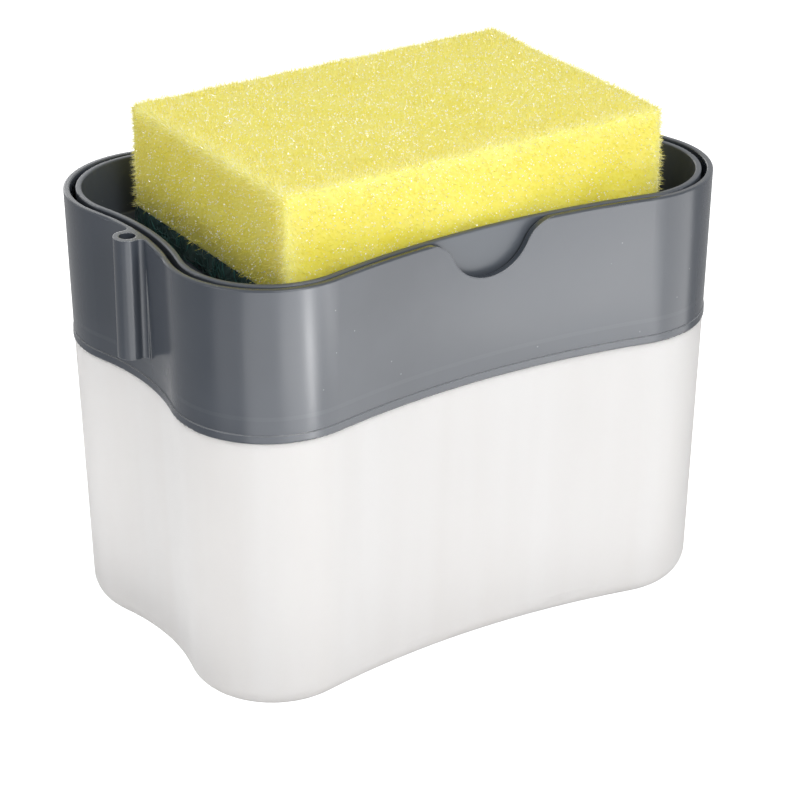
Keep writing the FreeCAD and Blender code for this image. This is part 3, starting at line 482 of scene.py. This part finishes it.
def padPiece():
    size = {"step": 0.75 * mm, "inset": 0.45 * mm, "round": 0.8 * mm, "cell": 1.6 * mm, "cellWall": 1.5,
            "pit": 0.5 * mm, "jitter": 0.1 * mm, "tint": 0.45, "seed": 31}
    fibre = {"count": 3600, "short": 3.0 * mm, "long": 8.0 * mm, "radius": 0.11 * mm, "taper": 0.7,
             "arch": 0.3 * mm, "bend": 0.9 * mm, "rings": 6, "steepest": 0.3, "seed": 37}
    random = np.random.default_rng(size["seed"])
    low, high = (np.array(corner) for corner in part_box("scour_pad"))
    low += size["inset"]
    high[:2] -= size["inset"]
    high[2] += size["inset"]
    counts = np.round((high - low) / size["step"]).astype(int)
    lattice, quads = latticeShell(counts)
    block, normal = roundedBlock(low, high, lattice, counts, size["round"], True)
    first, second = cellDistances(block, size["cell"], random)
    hollow = np.clip((second - first) * size["cellWall"], 0, 1)
    rise = -size["pit"] * hollow + size["jitter"] * random.normal(size=len(block))
    points = block + normal * rise[:, None]
    material = fibreMaterial()
    piece = meshPiece("scouring_web", points, quads.tolist(), material, "sponge")
    # painted shade: darker down in the pits than on the cell walls
    paint(piece, "tint", size["tint"] * (1 - hollow))
    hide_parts("scour_pad")

    # Fibres lie on the sides and the underside: at t from -1 to 1 along a fibre, its middle line is
    # centre + length / 2 * t * along + bend * t^2 * across + arch * (1 - 2 t^2) * outward, and a
    # three-sided tube with tapered ends follows it.
    random = np.random.default_rng(fibre["seed"])
    outer = np.flatnonzero((normal[:, 2] < fibre["steepest"]) & (block[:, 2] < high[2] - 2 * size["step"]))
    chosen = random.choice(outer, fibre["count"])
    outward = normal[chosen]
    along = np.cross(outward, random.normal(size=outward.shape))
    along /= np.linalg.norm(along, axis=1, keepdims=True)
    across = np.cross(along, outward)
    t = np.linspace(-1, 1, fibre["rings"])[None, :, None]
    length = random.uniform(fibre["short"], fibre["long"], (fibre["count"], 1, 1))
    bend = random.normal(size=(fibre["count"], 1, 1)) * fibre["bend"]
    line = (block[chosen][:, None] + length / 2 * t * along[:, None] + bend * t ** 2 * across[:, None]
            + fibre["arch"] * (1 - 2 * t ** 2) * outward[:, None])
    line = np.clip(line, low - fibre["arch"], high + np.array([1, 1, 0]) * fibre["arch"])
    turns = (np.arange(3) * 2 * pi / 3)[None, None, :, None]
    taper = fibre["radius"] * (1 - fibre["taper"] * t ** 4)[:, :, None]
    around = np.cos(turns) * outward[:, None, None] + np.sin(turns) * across[:, None, None]
    tube = line[:, :, None] + taper * around
    ring = np.arange(3)
    ahead = np.roll(ring, -1)
    steps = 3 * np.arange(fibre["rings"] - 1)[:, None]
    wall = np.stack([ring + steps, ahead + steps, ahead + steps + 3, ring + steps + 3], -1).reshape(-1, 4)
    start = 3 * fibre["rings"] * np.arange(fibre["count"])[:, None, None]
    last = 3 * (fibre["rings"] - 1)
    ends = np.array([(2, 1, 0), (last, last + 1, last + 2)])
    faces = (wall[None] + start).reshape(-1, 4).tolist() + (ends[None] + start).reshape(-1, 3).tolist()
    web = meshPiece("scouring_fibres", tube.reshape(-1, 3), faces, material, "sponge")
    paint(web, "tint", np.repeat(random.random(fibre["count"]), 3 * fibre["rings"]))
    print("scouring pad:", len(points), "points,", fibre["count"], "fibres")


foamPiece()
padPiece()

# camera: the photograph's own view

view = {"azimuth": -32.935, "elevation": 25.628, "distance": 721.14 * mm,
        "target": (3.634 * mm, 1.719 * mm, 45.924 * mm), "lens": 134.957, "sensor": 36, "near": 10 * mm}
turn, lift = radians(view["azimuth"]), radians(view["elevation"])
backwards = Vector((sin(turn) * cos(lift), -cos(turn) * cos(lift), sin(lift)))
camera = bpy.data.objects.new("camera", bpy.data.cameras.new("camera"))
bpy.context.scene.collection.objects.link(camera)
camera.data.lens = view["lens"]
camera.data.sensor_width = view["sensor"]
camera.location = Vector(view["target"]) + backwards * view["distance"]
camera.rotation_mode = "QUATERNION"
camera.rotation_quaternion = (-backwards).to_track_quat("-Z", "Y")
camera.data.clip_start = view["near"]
bpy.context.scene.camera = camera

# studio: pale floor, white surround, soft lamps

def areaLamp(name, place, target, size, power, diffuse=True, mirror=True):
    lamp = bpy.data.lights.new(name, "AREA")
    lamp.shape = "ELLIPSE"
    lamp.size, lamp.size_y = size
    lamp.energy = power
    holder = bpy.data.objects.new(name, lamp)
    holder.location = place
    holder.rotation_mode = "QUATERNION"
    holder.rotation_quaternion = (Vector(target) - Vector(place)).to_track_quat("-Z", "Y")
    holder.visible_camera = False
    holder.visible_diffuse = diffuse
    holder.visible_glossy = mirror
    bpy.context.scene.collection.objects.link(holder)


def shareOfRays(tree, output, share, others=None):
    # the share for rays of one kind, added to what others give
    path = addNode(tree, "ShaderNodeLightPath")
    links = {0: path.outputs[output], **({2: others} if others else {})}
    return addNode(tree, "ShaderNodeMath", {"operation": "MULTIPLY_ADD", 1: share}, links).outputs[0]


studio = {"worldLight": 0.2, "floorSize": 6.0, "floorWhite": "#f2f2f1", "cameraWash": 0.93,
          "mirrorWash": 0.95, "mirrorWhite": 0.03}
world = bpy.data.worlds.new("studio")
bpy.context.scene.world = world
world.use_nodes = True
world.node_tree.nodes.clear()
seen = shareOfRays(world.node_tree, "Is Camera Ray", 1.0)
for ray in ("Is Glossy Ray", "Is Transmission Ray"):
    seen = shareOfRays(world.node_tree, ray, 1.0, seen)
strength = addNode(world.node_tree, "ShaderNodeMapRange", {"To Min": studio["worldLight"], "To Max": 1.0},
                   {0: seen})
surround = addNode(world.node_tree, "ShaderNodeBackground", {"Color": (1, 1, 1, 1)},
                   {"Strength": strength.outputs[0]})
addNode(world.node_tree, "ShaderNodeOutputWorld", None, {"Surface": surround.outputs[0]})

# the floor is washed white for the camera, and a quieter grey in mirror images
floorMaterial, floorTree, _ = newMaterial("pale studio floor")
lit = addNode(floorTree, "ShaderNodeBsdfDiffuse", {"Color": linear(studio["floorWhite"])})
glossy = shareOfRays(floorTree, "Is Glossy Ray", studio["mirrorWhite"])
white = addNode(floorTree, "ShaderNodeEmission", {"Color": (1, 1, 1, 1)},
                {"Strength": shareOfRays(floorTree, "Is Camera Ray", 1.0, glossy)})
glossy = shareOfRays(floorTree, "Is Glossy Ray", studio["mirrorWash"])
wash = shareOfRays(floorTree, "Is Camera Ray", studio["cameraWash"], glossy)
floorMix = addNode(floorTree, "ShaderNodeMixShader", None,
                   {0: wash, 1: lit.outputs[0], 2: white.outputs[0]})
addNode(floorTree, "ShaderNodeOutputMaterial", None, {"Surface": floorMix.outputs[0]})
half = studio["floorSize"] / 2
floorMesh = bpy.data.meshes.new("floor")
floorMesh.from_pydata([(-half, -half, 0), (half, -half, 0), (half, half, 0), (-half, half, 0)], [],
                      [(0, 1, 2, 3)])
floorMesh.materials.append(floorMaterial)
floor = bpy.data.objects.new("floor", floorMesh)
bpy.context.scene.collection.objects.link(floor)

# name, place, size and watts: a key from the front, a fill from the left, a light behind for the tub
lamps = [("key", (-0.04, -0.88, 0.65), (0.6, 0.5), 7.0), ("fill", (-0.9, -0.2, 0.2), (0.6, 0.4), 1.5),
         ("back", (0.1, 1.0, 0.3), (0.8, 0.5), 2.0)]
# cards on the floor that face up: two light the tub and show in no mirror image
cards = [("card", (-0.16, 0.0, 0.003), (0.14, 0.16), 0.08),
         ("foot", (0.0, -0.066, 0.002), (0.15, 0.03), 0.005)]
# and five that only the gloss mirrors, for the highlight at the collar's corner and the sheen beside it
mirrored = [("streak", (0.002, -0.24, 0.003), (0.03, 0.16), 0.13),
            ("flank", (-0.03, -0.24, 0.0025), (0.17, 0.16), 0.2),
            ("glow", (0.09, -0.24, 0.003), (0.06, 0.16), 0.1),
            ("sheen", (0.04, -0.27, 0.002), (0.66, 0.42), 2.1),
            ("dusk", (-0.24, -0.09, 0.002), (0.12, 0.14), 0.05)]
for name, place, size, power in lamps:
    areaLamp(name, place, (0, 0, 60 * mm), size, power)
for name, place, size, power in cards:
    areaLamp(name, place, (*place[:2], 1.0), size, power, mirror=False)
for name, place, size, power in mirrored:
    areaLamp(name, place, (*place[:2], 1.0), size, power, diffuse=False)
bpy.context.scene.view_settings.view_transform = "Standard"
print("studio set")
